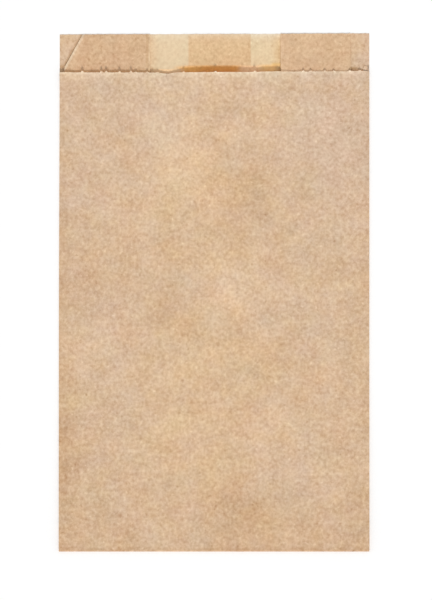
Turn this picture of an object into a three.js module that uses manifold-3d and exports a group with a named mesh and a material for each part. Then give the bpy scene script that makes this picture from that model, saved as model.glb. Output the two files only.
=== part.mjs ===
// Croissant bag: one sheet of brown kraft paper, folded flat into a tube with side gussets, lapped and
// glued down the middle of the back, and turned under and glued at the bottom. The mouth is the stepped,
// toothed cut that parts one bag from the next, so the back stands past the front panel as a lip.
// Millimetres. The bag lies on its back: X runs across it, Y from the bottom fold to the mouth, Z up.
import * as THREE from "three";
import { mergeVertices } from "three/addons/utils/BufferGeometryUtils.js";
import Module from "manifold-3d";

// The bag as it lies flat
const BAG_WIDTH = 120; // outer fold to outer fold
const BAG_LENGTH = 200; // bottom fold to the tip of the lip
const LIP_LENGTH = 15; // how far the back stands past the front panel
const GUSSET_DEPTH = 35; // how far each side is folded in
const SEAM_OVERLAP = 24; // the two edges of the sheet, lapped on the back
const SEAM_OFFSET = 2; // the lap's middle lies this far to the right of the bag's
const FLAP_LENGTH = 10; // turned under at the bottom; the front panel's flap is longer by the lip

// The sheet and how closely its layers lie
const PAPER = 0.08;
const LAYER_GAP = 0.12;

// How the empty bag springs open a little
const FRONT_CROWN = 1.6; // the middle of the front panel, above its own side folds
const LEFT_GUSSET_DROP = 0.9; // the gussets' inner folds, below the front panel
const RIGHT_GUSSET_DROP = 0.25;
const CROWN_RUN = 70; // from the bottom fold to the full crown

// The toothed cut across the mouth
const TOOTH_PITCH = 4.7;
const NIB_WIDTH = 0.9; // of the torn tie between two teeth
const NIB_HEIGHT = 0.4;
const LEFT_CORNER_CUT = 9; // the slanting step from the front panel up to the lip
const RIGHT_CORNER_CUT = 7; // the square step on the other side
const CUT_WIDTH = 0.2; // the square step's slit

// How the layers come down past the ends of those that are turned under
const STEP_CLEARANCE = 0.5;
const STEP_RUN = 3;
const SETTLE_RUN = 15;
const LAP_DROP = 3; // where the inner edge of the lap comes down beside the outer one

// The glue
const SEAM_GLUE_MARGIN = 5;
const FLAP_GLUE_MARGIN = 2;
const GLUE_END_MARGIN = 6;
const GLUE_BITE = PAPER / 4;

// How finely the curves are cut
const FOLD_STEPS = 4;
const BEND_STEPS = 6;
const FRONT_STEPS = 10;
const CROWN_STEPS = 4;
const MOUTH_BAND = 6; // between the last whole row and the front panel's cut
const LEAST_STEP = 0.02;

const KRAFT = new THREE.MeshStandardMaterial({ color: 0xd8b999, roughness: 0.85, metalness: 0 });

const wasm = await Module();
wasm.setup();

// Heights of the layers' middles above the back panel's middle. A gusset deep enough to reach the lap
// lies on it.
const HALF_WIDTH = BAG_WIDTH / 2;
const LAYER = PAPER + LAYER_GAP;
const INNER_FOLD = HALF_WIDTH - GUSSET_DEPTH;
const LAP_RIGHT = SEAM_OFFSET + SEAM_OVERLAP / 2;
const LAP_LEFT = SEAM_OFFSET - SEAM_OVERLAP / 2;
const LAP_REACH = Math.max(LAP_RIGHT, LAP_DROP - LAP_LEFT);
const GUSSET_BACK = INNER_FOLD > LAP_REACH ? LAYER : 2 * LAYER;
const GUSSET_FRONT = GUSSET_BACK + LAYER;
const FRONT = GUSSET_FRONT + LAYER;

// The bottom bend: every layer turns about one axis, the back panel tightest and the front panel widest.
const BACK_BEND = LAYER / 2;
const FRONT_BEND = BACK_BEND + FRONT;
const AXIS_Z = FRONT_BEND + PAPER / 2;
const AXIS_Y = AXIS_Z - BAG_LENGTH / 2;
const BEND_ARC = Math.PI * FRONT_BEND;
const TURNED_STACK = FRONT + LAYER;
const FRONT_FLAP = FLAP_LENGTH + LIP_LENGTH;

// Distances up the bag from the bend's axis
const LIP_CUT = BAG_LENGTH / 2 - AXIS_Y - NIB_HEIGHT;
const FRONT_CUT = LIP_CUT - LIP_LENGTH;
const SETTLED = FRONT_FLAP + SETTLE_RUN;

const crown = (x) => FRONT_CROWN * (1 - (x / HALF_WIDTH) ** 2);
const gussetRise = (drop) => Math.max(0, crown(INNER_FOLD) - drop);

// The tube's section as stations along the sheet, from the lap's inner edge round to its outer edge.
// Each has the paper's middle, the direction that its outer face looks, and how far it springs up.
function foldedSection() {
  const stations = [];

  function station(x, height, faceX, faceZ, rise) {
    const last = stations.at(-1);
    const along = last ? last.along + Math.hypot(x - last.x, height - last.height) : 0;
    stations.push({ along, x, height, faceX, faceZ, rise });
    return along;
  }

  // A fold whose outermost face is at edgeX, bulging to the left (-1) or right (1), with the paper's
  // outer face on the bulge (1) or in it (-1).
  function fold(edgeX, bulge, from, to, outer, rise) {
    const radius = Math.abs(to - from) / 2;
    const centreX = edgeX - bulge * (radius + PAPER / 2);
    const ends = [];
    for (let k = 0; k <= FOLD_STEPS; k++) {
      const angle = Math.PI * (k / FOLD_STEPS - 0.5);
      const dirX = bulge * Math.cos(angle);
      const dirZ = Math.sign(to - from) * Math.sin(angle);
      const height = (from + to) / 2 + radius * dirZ;
      ends.push(station(centreX + radius * dirX, height, outer * dirX, outer * dirZ, rise));
    }
    return [ends.at(0), ends.at(-1)];
  }

  station(LAP_RIGHT, LAYER, 0, -1, 0);
  station(LAP_LEFT - LAYER_GAP, LAYER, 0, -1, 0);
  station(LAP_LEFT - LAP_DROP, 0, 0, -1, 0);
  fold(-HALF_WIDTH, -1, 0, GUSSET_BACK, 1, 0);
  fold(-INNER_FOLD, 1, GUSSET_BACK, GUSSET_FRONT, -1, gussetRise(LEFT_GUSSET_DROP));
  const left = fold(-HALF_WIDTH, -1, GUSSET_FRONT, FRONT, 1, 0);
  const span = 2 * Math.abs(stations.at(-1).x);
  for (let k = 1; k < FRONT_STEPS; k++) {
    const x = span * (k / FRONT_STEPS - 0.5);
    station(x, FRONT, 0, 1, crown(x));
  }
  const right = fold(HALF_WIDTH, 1, FRONT, GUSSET_FRONT, 1, 0);
  fold(INNER_FOLD, -1, GUSSET_FRONT, GUSSET_BACK, -1, gussetRise(RIGHT_GUSSET_DROP));
  fold(HALF_WIDTH, 1, GUSSET_BACK, 0, 1, 0);
  const end = station(LAP_LEFT, 0, 0, -1, 0);
  return { stations, left, right, end };
}

const section = foldedSection();

// The section between two stations, for points of the cut edges.
function stationAt(along) {
  const { stations } = section;
  let next = 1;
  while (next < stations.length - 1 && stations[next].along < along) next++;
  const [a, b] = [stations[next - 1], stations[next]];
  const share = (along - a.along) / (b.along - a.along);
  const between = (key) => THREE.MathUtils.lerp(a[key], b[key], share);
  return {
    x: between("x"),
    height: between("height"),
    faceX: between("faceX"),
    faceZ: between("faceZ"),
    rise: between("rise"),
  };
}

const fallOff = (up, start, end) => 1 - THREE.MathUtils.clamp((up - start) / (end - start), 0, 1);

// How high the turned-under layers hold a layer of the bag. The back panel and the lap step down past
// each of their ends, the front panel comes down evenly, and the gussets lie between.
function lift(up, height) {
  const allEnd = FLAP_LENGTH + STEP_CLEARANCE;
  const overAll = TURNED_STACK * fallOff(up, allEnd, FLAP_LENGTH + STEP_RUN);
  const overFront = LAYER * fallOff(up, FRONT_FLAP + STEP_CLEARANCE, SETTLED);
  const back = Math.max(overAll, overFront);
  const front = TURNED_STACK * fallOff(up, allEnd, CROWN_RUN);
  return THREE.MathUtils.lerp(back, front, Math.max(0, height - LAYER) / (FRONT - LAYER));
}

// A point of the sheet's outer (1) or inner (-1) face. up is the distance from the bend's axis towards
// the mouth; below 0 it runs round the bend and then along the turned-under flap.
function paperPoint([along, up], side) {
  const at = stationAt(along);
  const sprung = at.height + at.rise * THREE.MathUtils.smoothstep(up, 0, CROWN_RUN);
  const x = at.x + (side * at.faceX * PAPER) / 2;
  const height = sprung + (side * at.faceZ * PAPER) / 2;
  if (up >= 0) return [x, AXIS_Y + up, lift(up, at.height) + PAPER / 2 + height];
  const radius = BACK_BEND + height;
  if (up < -BEND_ARC) return [x, AXIS_Y - up - BEND_ARC, AXIS_Z - radius];
  const angle = (-up / BEND_ARC) * Math.PI;
  return [x, AXIS_Y - radius * Math.sin(angle), AXIS_Z + radius * Math.cos(angle)];
}

// How far the torn nib at this place stands out of the cut.
function nib(along) {
  const fromMiddle = Math.abs((along % TOOTH_PITCH) - TOOTH_PITCH / 2);
  return NIB_HEIGHT * Math.max(0, 1 - fromMiddle / (NIB_WIDTH / 2));
}

// A cut edge through [along, up] knots, with a corner at each station, knot and nib. The same teeth part
// bag from bag, so each nib that stands out of a mouth is missing from the next bag's flap.
function cutEdge(knots) {
  const corners = section.stations.map((s) => s.along);
  const addCorner = (along) => {
    if (corners.every((c) => Math.abs(c - along) > LEAST_STEP)) corners.push(along);
  };
  knots.forEach(([along]) => addCorner(along));
  for (let middle = TOOTH_PITCH / 2; middle + NIB_WIDTH < section.end; middle += TOOTH_PITCH) {
    [middle - NIB_WIDTH / 2, middle, middle + NIB_WIDTH / 2].forEach(addCorner);
  }
  corners.sort((a, b) => a - b);
  return corners.map((along) => {
    const next = Math.max(1, knots.findIndex(([knot]) => knot >= along - LEAST_STEP));
    const [[a, low], [b, high]] = [knots[next - 1], knots[next]];
    const level = THREE.MathUtils.mapLinear(THREE.MathUtils.clamp(along, a, b), a, b, low, high);
    return [along, level + nib(along)];
  });
}

function mouthEdge() {
  const [left, right] = [section.left[0], section.right[1]];
  const knots = [
    [0, LIP_CUT],
    [left - LEFT_CORNER_CUT, LIP_CUT],
    [left, FRONT_CUT],
    [right + RIGHT_CORNER_CUT, FRONT_CUT],
    [right + RIGHT_CORNER_CUT + CUT_WIDTH, LIP_CUT],
    [section.end, LIP_CUT],
  ];
  return cutEdge(knots);
}

function flapEdge() {
  const short = -BEND_ARC - FLAP_LENGTH;
  const long = -BEND_ARC - FRONT_FLAP;
  const knots = [
    [0, short],
    [section.left[0], short],
    [section.left[1], long],
    [section.right[0], long],
    [section.right[1], short],
    [section.end, short],
  ];
  return cutEdge(knots);
}

// The rows that run right across the sheet, from the flap to the mouth.
function sheetRows() {
  const rows = [-BEND_ARC - FLAP_LENGTH / 2, FRONT_CUT - MOUTH_BAND];
  for (let k = 0; k <= BEND_STEPS; k++) rows.push(-BEND_ARC * (k / BEND_STEPS));
  for (let k = 1; k <= CROWN_STEPS; k++) rows.push(CROWN_RUN * (k / CROWN_STEPS));
  rows.push(FLAP_LENGTH + STEP_CLEARANCE, FLAP_LENGTH + STEP_RUN);
  rows.push(FRONT_FLAP + STEP_CLEARANCE, SETTLED);
  rows.sort((a, b) => a - b);
  return rows.filter((row, k) => k === 0 || row - rows[k - 1] > LEAST_STEP);
}

// The flat sheet as triangles over [along, up] points, anticlockwise.
function flatSheet() {
  const points = [];
  const triangles = [];
  const { stations } = section;
  const addPoint = (point) => points.push(point) - 1;

  function addTriangle(a, b, c) {
    const [p, q, r] = [points[a], points[b], points[c]];
    const turn = (q[0] - p[0]) * (r[1] - p[1]) - (q[1] - p[1]) * (r[0] - p[0]);
    triangles.push(turn > 0 ? [a, b, c] : [a, c, b]);
  }

  const grid = sheetRows().map((up) => stations.map((s) => addPoint([s.along, up])));
  for (let r = 1; r < grid.length; r++) {
    for (let k = 1; k < stations.length; k++) {
      addTriangle(grid[r - 1][k - 1], grid[r - 1][k], grid[r][k]);
      addTriangle(grid[r - 1][k - 1], grid[r][k], grid[r][k - 1]);
    }
  }

  function addBorder(edge, row) {
    const ids = edge.map(addPoint);
    for (let k = 1; k < stations.length; k++) {
      const [from, to] = [stations[k - 1].along, stations[k].along];
      const rim = ids.filter((id) => points[id][0] >= from && points[id][0] <= to);
      const ring = [row[k - 1], row[k], ...rim.reverse()];
      const outline = ring.map((id) => new THREE.Vector2(...points[id]));
      const faces = THREE.ShapeUtils.triangulateShape(outline, []);
      faces.forEach(([a, b, c]) => addTriangle(ring[a], ring[b], ring[c]));
    }
  }

  addBorder(mouthEdge(), grid.at(-1));
  addBorder(flapEdge(), grid[0]);
  return { points, triangles };
}

// The folded sheet with its thickness: both faces, and a wall along every free edge.
function foldedSheet() {
  const { points, triangles } = flatSheet();
  const inner = points.length;
  const positions = [1, -1].flatMap((side) => points.flatMap((point) => paperPoint(point, side)));
  const faces = triangles.flatMap(([a, b, c]) => [a, b, c, inner + c, inner + b, inner + a]);
  const edgeKey = (a, b) => a * inner + b;
  const edges = new Set();
  const edgesOf = ([a, b, c]) => [
    [a, b],
    [b, c],
    [c, a],
  ];
  triangles.forEach((t) => edgesOf(t).forEach(([a, b]) => edges.add(edgeKey(a, b))));
  triangles.forEach((t) =>
    edgesOf(t).forEach(([a, b]) => {
      if (edges.has(edgeKey(b, a))) return;
      faces.push(inner + a, inner + b, b, inner + a, b, a);
    }),
  );
  const geometry = new THREE.BufferGeometry();
  geometry.setAttribute("position", new THREE.Float32BufferAttribute(positions, 3));
  return geometry.setIndex(faces);
}

// A line of glue in the gap above the lowest layer, biting a little into the paper on both sides.
function glueLine(left, right, bottom, top) {
  const thickness = LAYER_GAP + 2 * GLUE_BITE;
  const line = new THREE.BoxGeometry(right - left, top - bottom, thickness);
  return line.translate((left + right) / 2, (bottom + top) / 2, PAPER + LAYER_GAP / 2);
}

function seamGlue() {
  const top = AXIS_Y + LIP_CUT - GLUE_END_MARGIN;
  return glueLine(LAP_LEFT + SEAM_GLUE_MARGIN, LAP_RIGHT - SEAM_GLUE_MARGIN, AXIS_Y + SETTLED, top);
}

function flapGlue() {
  const side = HALF_WIDTH - GLUE_END_MARGIN;
  const bottom = AXIS_Y + FLAP_LENGTH + STEP_RUN + FLAP_GLUE_MARGIN;
  return glueLine(-side, side, bottom, AXIS_Y + FRONT_FLAP - FLAP_GLUE_MARGIN);
}

function solidOf(geometry) {
  geometry.deleteAttribute("normal");
  geometry.deleteAttribute("uv");
  const merged = mergeVertices(geometry);
  const vertProperties = new Float32Array(merged.attributes.position.array);
  const triVerts = new Uint32Array(merged.index.array);
  return new wasm.Manifold(new wasm.Mesh({ numProp: 3, vertProperties, triVerts }));
}

function geometryOf(solid) {
  const { vertProperties, triVerts } = solid.getMesh();
  const geometry = new THREE.BufferGeometry();
  geometry.setAttribute("position", new THREE.BufferAttribute(vertProperties, 3));
  geometry.setIndex(new THREE.BufferAttribute(triVerts, 1));
  geometry.computeVertexNormals();
  return geometry;
}

const paper = solidOf(foldedSheet()).add(solidOf(seamGlue())).add(solidOf(flapGlue()));
const paperBag = new THREE.Mesh(geometryOf(paper), KRAFT);
paperBag.name = "paper_bag";

const bag = new THREE.Group();
bag.add(paperBag);

export default bag;
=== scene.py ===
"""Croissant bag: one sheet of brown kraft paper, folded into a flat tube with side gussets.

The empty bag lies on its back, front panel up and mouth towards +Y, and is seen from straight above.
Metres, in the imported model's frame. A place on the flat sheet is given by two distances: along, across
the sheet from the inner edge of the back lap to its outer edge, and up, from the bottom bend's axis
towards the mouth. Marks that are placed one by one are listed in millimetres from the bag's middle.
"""

import logging
import math
from dataclasses import dataclass, field
from enum import Enum

import bpy
import numpy as np
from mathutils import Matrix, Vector, kdtree, noise
from mathutils.geometry import delaunay_2d_cdt


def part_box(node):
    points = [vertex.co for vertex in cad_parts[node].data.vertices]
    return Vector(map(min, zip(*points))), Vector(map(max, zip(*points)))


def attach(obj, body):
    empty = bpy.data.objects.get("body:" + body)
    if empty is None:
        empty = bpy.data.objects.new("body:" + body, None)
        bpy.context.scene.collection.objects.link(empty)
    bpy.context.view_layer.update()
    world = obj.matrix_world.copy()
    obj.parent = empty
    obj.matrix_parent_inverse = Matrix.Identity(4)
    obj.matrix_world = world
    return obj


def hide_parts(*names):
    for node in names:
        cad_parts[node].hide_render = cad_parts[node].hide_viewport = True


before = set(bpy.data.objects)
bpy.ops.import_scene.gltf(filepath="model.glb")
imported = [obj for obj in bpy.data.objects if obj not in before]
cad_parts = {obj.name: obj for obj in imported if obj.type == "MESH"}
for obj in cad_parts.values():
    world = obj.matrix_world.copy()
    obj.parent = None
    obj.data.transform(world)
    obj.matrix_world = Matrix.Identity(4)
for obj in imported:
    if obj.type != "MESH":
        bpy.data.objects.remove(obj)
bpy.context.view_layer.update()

LOG = logging.getLogger("croissant_bag")
MM = 0.001
PHOTO_SIZE = (432, 600)

Array = np.ndarray
Span = tuple[float, float]
Colour = tuple[float, float, float]
Socket = bpy.types.NodeSocket


def smooth(share: Array) -> Array:
    """Eases a share from 0 to 1, level at both ends."""
    eased = np.clip(share, 0.0, 1.0)
    return eased * eased * (3.0 - 2.0 * eased)


def hump(distance: Array, width: float) -> Array:
    """A bell of height 1 where the distance is 0."""
    return np.exp(-((distance / width) ** 2))


def wander(x: Array, y: Array | float, z: float) -> Array:
    """Smooth noise about 0, at places given in lengths of its waves."""
    places = np.broadcast_arrays(x, y, z)
    return np.array([noise.noise(Vector(place)) for place in zip(*places)])


class Layer(Enum):
    """The layers of the flat bag. Each value weighs the spring of the front, left and right."""

    BACK = (0.0, 0.0, 0.0)
    FRONT = (1.0, 0.0, 0.0)
    LEFT_GUSSET = (0.0, 1.0, 0.0)
    RIGHT_GUSSET = (0.0, 0.0, 1.0)


class Skin(Enum):
    """The surfaces of the paper, in the order of the mesh's material slots."""

    OUTSIDE = 0
    INSIDE = 1
    CUT = 2


@dataclass(frozen=True)
class Patch:
    """A soft oval patch of the front panel, placed in millimetres, and the amount at its middle."""

    x: float
    y: float
    across: float
    along: float
    amount: float

    def at(self, x: Array, y: Array) -> Array:
        """Its amount at these places, which are given in metres."""
        across = hump(x / MM - self.x, self.across)
        return self.amount * across * hump(y / MM - self.y, self.along)


@dataclass(frozen=True)
class Crease:
    """A short ridge in the front panel, or a trough where its height is below zero, in millimetres.

    fade is the share of its length over which each end dies away.
    """

    start: Span
    end: Span
    width: float
    height: float
    fade: float = 0.4

    def at(self, x: Array, y: Array) -> Array:
        """Works out the crease at some places.

        Args:
            x: places across the bag, in metres.
            y: places from the bottom fold to the mouth, in metres.

        Returns:
            Its heights there, in millimetres.
        """
        run = np.subtract(self.end, self.start)
        length = float(np.hypot(*run))
        from_start = np.column_stack((x, y)) / MM - self.start
        share = from_start @ run / length**2
        across = from_start @ np.array((-run[1], run[0])) / length
        ends = smooth(share / self.fade) * smooth((1.0 - share) / self.fade)
        return self.height * hump(across, self.width) * ends


@dataclass(frozen=True)
class EdgeBend:
    """A place where the front panel's free edge is bent down, in millimetres."""

    x: float
    width: float
    depth: float


def laid(marks: tuple[Patch | Crease, ...], x: Array, y: Array) -> Array:
    """What these patches or creases add up to."""
    return sum(mark.at(x, y) for mark in marks)


# Soft swells and dents
FRONT_SWELLS = (
    Patch(10, 17, 14, 15, 1.1),
    Patch(-16, 24, 12, 20, -0.4),
    Patch(-17, -32, 14, 22, 0.6),
    Patch(-45, -8, 9, 12, 0.45),
    Patch(12, -66, 14, 18, -0.5),
    Patch(41, 17, 12, 11, -0.2),
    Patch(27, -45, 9, 12, 0.4),
    Patch(-18, 66, 10, 20, 0.5),
)
FRONT_CREASES = (
    Crease((-16, 22.5), (-4.5, 35), 1.4, 0.42),
    Crease((24, 16), (36.5, 28.5), 1.4, 0.42),
    Crease((12, -52), (23.5, -40), 1.4, 0.42),
    Crease((10.5, -29), (22, -38.5), 2.0, 0.55),
    Crease((-53, 2.5), (-42, -3.5), 1.9, 0.4),
    Crease((-1.5, 62.5), (9.5, 54), 1.9, -0.4),
    Crease((24, -51.5), (34, -52), 1.4, 0.3),
    Crease((-53.5, -18.8), (-42, -18.4), 1.5, 0.35),
    Crease((-24.5, -66.5), (-12.5, -72), 2.1, -0.5),
    Crease((-28, 15), (-16.5, 22.5), 1.8, 0.4),
)
# Where the front panel is lighter or darker, in percent: partly the paper's own tone, and partly painted
# light and shade of soft crumples
FRONT_TONES = (
    Patch(-18, 64, 9, 26, 8),
    Patch(-38, 36, 6, 6, 6),
    Patch(-4, 46, 9, 18, 5),
    Patch(14, 38, 9, 13, -5),
    Patch(17, 80, 12, 7, 4),
    Patch(32, 62, 10, 12, 4),
    Patch(-58, 30, 6, 10, -4),
    Patch(6, 0, 10, 9, 9),
    Patch(-51, 4, 10, 10, -8),
    Patch(-19, -8, 6, 7, -6),
    Patch(59, -10, 5, 14, -3),
    Patch(-45, -20, 9, 9, 4),
    Patch(-13, -27, 14, 9, 4),
    Patch(-59, -62, 7, 26, -10),
    Patch(-15, -55, 8, 9, 4),
    Patch(25, -51, 8, 8, 4),
    Patch(49, -54, 6, 6, -5),
    Patch(-42, -68, 12, 9, -3),
    Patch(9, -84, 10, 9, -11),
    Patch(-19, -96, 8, 12, 8),
    Patch(48, 12, 6, 5, -3),
    Patch(58, -84, 5, 10, -4),
)
# Where it is warmer or cooler, as a share of the way between the two colours
FRONT_TINTS = (
    Patch(-6, -15, 20, 60, 0.28),
    Patch(-60, -50, 9, 45, 0.28),
    Patch(48, 60, 24, 32, -0.55),
    Patch(-40, 75, 25, 25, -0.3),
    Patch(-42, -30, 14, 40, -0.18),
    Patch(20, -90, 10, 8, 0.3),
    Patch(30, -10, 18, 14, -0.2),
    Patch(-52, 40, 11, 9, -0.35),
    Patch(-18, 69, 6, 5, -0.3),
    Patch(8, 42, 28, 8, 0.3),
    Patch(-8, 2, 16, 7, -0.35),
    Patch(-42, -9, 9, 6, -0.2),
    Patch(20, -26, 12, 10, 0.3),
    Patch(-18, -54, 6, 6, 0.3),
    Patch(1, -71, 8, 10, 0.3),
    Patch(30, -70, 9, 10, -0.35),
)
EDGE_BENDS = (EdgeBend(-20, 9, 0.75), EdgeBend(-16.5, 4.5, 0.6), EdgeBend(17, 7, 0.75))
# Torn nibs on the front panel's edge: place and height
FRONT_NIBS = (
    (-51.1, 0.50), (-43.8, 0.45), (-41.9, 0.45), (-36.7, 0.40), (-32.3, 0.50), (-30.4, 0.25),
    (-26.0, 0.30), (-22.0, 0.15), (-11.9, 0.30), (0.4, 0.30), (15.6, 0.35), (34.4, 0.40),
    (37.3, 0.30), (42.7, 0.40), (46.2, 0.25), (52.3, 0.30), (56.2, 0.25),
)
# How the front panel's cut wanders and is torn: place, and height over the cut
FRONT_WANDER = (
    (-21.6, 0.0), (-19.6, -0.3), (-17.8, -0.45), (-15.6, 0.0), (13.0, 0.0), (19.0, 0.15),
    (25.5, 0.2), (27.5, 0.1), (51.6, 0.1), (53.0, 0.2), (59.0, 0.2),
)


@dataclass(frozen=True)
class Fold:
    """A fold of the tube, from one layer's height to the next.

    bulge is -1 where it looks left and 1 where it looks right, and outer is 1 where the paper's outer
    face is on the bulge and -1 where it is in it.
    """

    edge: float
    bulge: int
    start: float
    end: float
    outer: int
    layer: Layer

    def radius(self) -> float:
        """Half the height between the two layers."""
        return abs(self.end - self.start) / 2

    def centre(self, paper: float) -> float:
        """The x of the fold's own axis."""
        return self.edge - self.bulge * (self.radius() + paper / 2)


class SectionLine:
    """The tube's section as it is drawn, one station after another.

    A station holds its distance along the sheet, its x and height, the x and z of the direction that the
    paper's outer face looks in, and the weights of its layer.
    """

    # How many margins from a panel's ends its even stations keep
    CLEAR = 1.5

    def __init__(self, margin: float) -> None:
        """Starts an empty line.

        Args:
            margin: how far from each end of a panel it has a station.
        """
        self.margin = margin
        self.rows: list[tuple[float, ...]] = []
        self.folded: list[int] = []

    def station(self, x: float, height: float, face: Span, layer: Layer) -> None:
        """Adds one station.

        Args:
            x: its place across the bag.
            height: the height of the paper's middle.
            face: the x and z of the direction that the outer face looks in.
            layer: the layer that it belongs to.
        """
        along = 0.0
        if self.rows:
            before, last_x, last_height = self.rows[-1][:3]
            along = before + math.hypot(x - last_x, height - last_height)
        self.rows.append((along, x, height, *face, *layer.value))

    def panel(self, to_x: float, to_height: float, face_z: float, layer: Layer, step: float) -> None:
        """Adds the stations of a straight panel, between the last one and its far end.

        Args:
            to_x: the x of its far end.
            to_height: the height of its far end.
            face_z: 1 where the outer face looks up, and -1 where it looks down.
            layer: the layer that it belongs to.
            step: about how far apart the stations are.
        """
        from_x, from_height = self.rows[-1][1:3]
        run = abs(to_x - from_x)
        margin = self.margin / run
        even = np.linspace(0.0, 1.0, max(2, round(run / step)) + 1)
        inner = even[np.abs(even - 0.5) < 0.5 - self.CLEAR * margin]
        for share in (margin, *inner, 1.0 - margin):
            height = from_height + (to_height - from_height) * share
            self.station(from_x + (to_x - from_x) * share, height, (0.0, face_z), layer)

    def bend(self, fold: Fold, paper: float, steps: int) -> None:
        """Adds the stations of a fold, half way round.

        Args:
            fold: the fold.
            paper: the paper's thickness.
            steps: how many steps it is bent in.
        """
        rising = math.copysign(1.0, fold.end - fold.start)
        middle = (fold.start + fold.end) / 2
        for angle in np.linspace(-math.pi / 2, math.pi / 2, steps + 1):
            dir_x = fold.bulge * math.cos(angle)
            dir_z = rising * math.sin(angle)
            self.folded.append(len(self.rows))
            x = fold.centre(paper) + fold.radius() * dir_x
            height = middle + fold.radius() * dir_z
            self.station(x, height, (fold.outer * dir_x, fold.outer * dir_z), fold.layer)


@dataclass
class Tube:
    """The sheet folded into a flat tube: its sizes, the heights of its layers, and its section.

    Its folds are numbered along the sheet: the left side's back, inner and front ones, and then the right
    side's front, inner and back ones.
    """

    width: float
    length: float
    lip: float = 14.75 * MM
    lip_over: float = 0.1 * MM
    left_gusset: float = 35 * MM
    right_gusset: float = 34.4 * MM
    seam_overlap: float = 24 * MM
    seam_offset: float = 2 * MM
    lap_drop: float = 3 * MM
    flap: float = 10 * MM
    paper: float = 0.08 * MM
    layer_gap: float = 0.12 * MM

    # How finely it is meshed
    fold_steps: int = 6
    front_step: float = 1.1 * MM
    gusset_step: float = 8 * MM
    back_step: float = 10 * MM
    fold_margin: float = 0.6 * MM

    stations: Array = field(init=False, repr=False)
    folds: Array = field(init=False, repr=False)

    def __post_init__(self) -> None:
        """Works out the layers' heights, the bottom bend, the two cuts and the section."""
        self.half = self.width / 2
        self.layer = self.paper + self.layer_gap
        self.front = 3 * self.layer
        self.back_bend = self.layer / 2
        front_bend = self.back_bend + self.front
        self.axis_z = front_bend + self.paper / 2
        self.axis_y = self.axis_z - self.length / 2
        self.bend_arc = math.pi * front_bend
        self.front_flap = self.flap + self.lip
        self.lip_cut = self.length / 2 + self.lip_over - self.axis_y
        self.front_cut = self.lip_cut - self.lip
        self._draw_section()

    def _folds(self) -> tuple[Fold, ...]:
        """The six folds, in order along the sheet.

        Returns:
            The folds, each from the height of the layer before it to that of the layer after it.
        """
        half, low, mid, top = self.half, self.layer, 2 * self.layer, self.front
        return (
            Fold(-half, -1, 0.0, low, 1, Layer.LEFT_GUSSET),
            Fold(self.left_gusset - half, 1, low, mid, -1, Layer.LEFT_GUSSET),
            Fold(-half, -1, mid, top, 1, Layer.FRONT),
            Fold(half, 1, top, mid, 1, Layer.FRONT),
            Fold(half - self.right_gusset, -1, mid, low, -1, Layer.RIGHT_GUSSET),
            Fold(half, 1, low, 0.0, 1, Layer.RIGHT_GUSSET),
        )

    def _draw_section(self) -> None:
        """Sets the stations, those of each fold, and where the front panel's folds begin and end."""
        lap_right = self.seam_offset + self.seam_overlap / 2
        lap_left = self.seam_offset - self.seam_overlap / 2
        line = SectionLine(self.fold_margin)
        down = (0.0, -1.0)
        line.station(lap_right, self.layer, down, Layer.BACK)
        for x, height in ((lap_left - self.layer_gap, self.layer), (lap_left - self.lap_drop, 0.0)):
            line.panel(x, height, -1.0, Layer.BACK, self.back_step)
            line.station(x, height, down, Layer.BACK)
        panels = (
            (Layer.BACK, self.back_step),
            (Layer.LEFT_GUSSET, self.gusset_step),
            (Layer.LEFT_GUSSET, self.gusset_step),
            (Layer.FRONT, self.front_step),
            (Layer.RIGHT_GUSSET, self.gusset_step),
            (Layer.RIGHT_GUSSET, self.gusset_step),
        )
        face_z = -1.0
        for fold, (layer, step) in zip(self._folds(), panels):
            line.panel(fold.centre(self.paper), fold.start, face_z, layer, step)
            line.bend(fold, self.paper, self.fold_steps)
            face_z = -face_z
        line.panel(lap_left, 0.0, -1.0, Layer.BACK, self.back_step)
        line.station(lap_left, 0.0, down, Layer.BACK)
        self.stations = np.array(line.rows)
        self.folds = np.array(line.folded).reshape(len(panels), self.fold_steps + 1)
        alongs = self.stations[:, 0]
        self.end = float(alongs[-1])
        self.left_start, self.left_end = alongs[self.folds[2, [0, -1]]].tolist()
        self.right_start, self.right_end = alongs[self.folds[3, [0, -1]]].tolist()

    def front_along(self, x: float) -> float:
        """How far along the sheet this x of the front panel is."""
        return self.left_end + x + self.half - self.layer / 2 - self.paper / 2

    def flat_x(self, along: Array) -> Array:
        """The x at which this distance along the sheet lies."""
        return np.interp(along, self.stations[:, 0], self.stations[:, 1])

    def fold_middle(self, fold: int) -> float:
        """How far along the sheet the middle of a fold is."""
        return float(self.stations[self.folds[fold, self.fold_steps // 2], 0])


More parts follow.
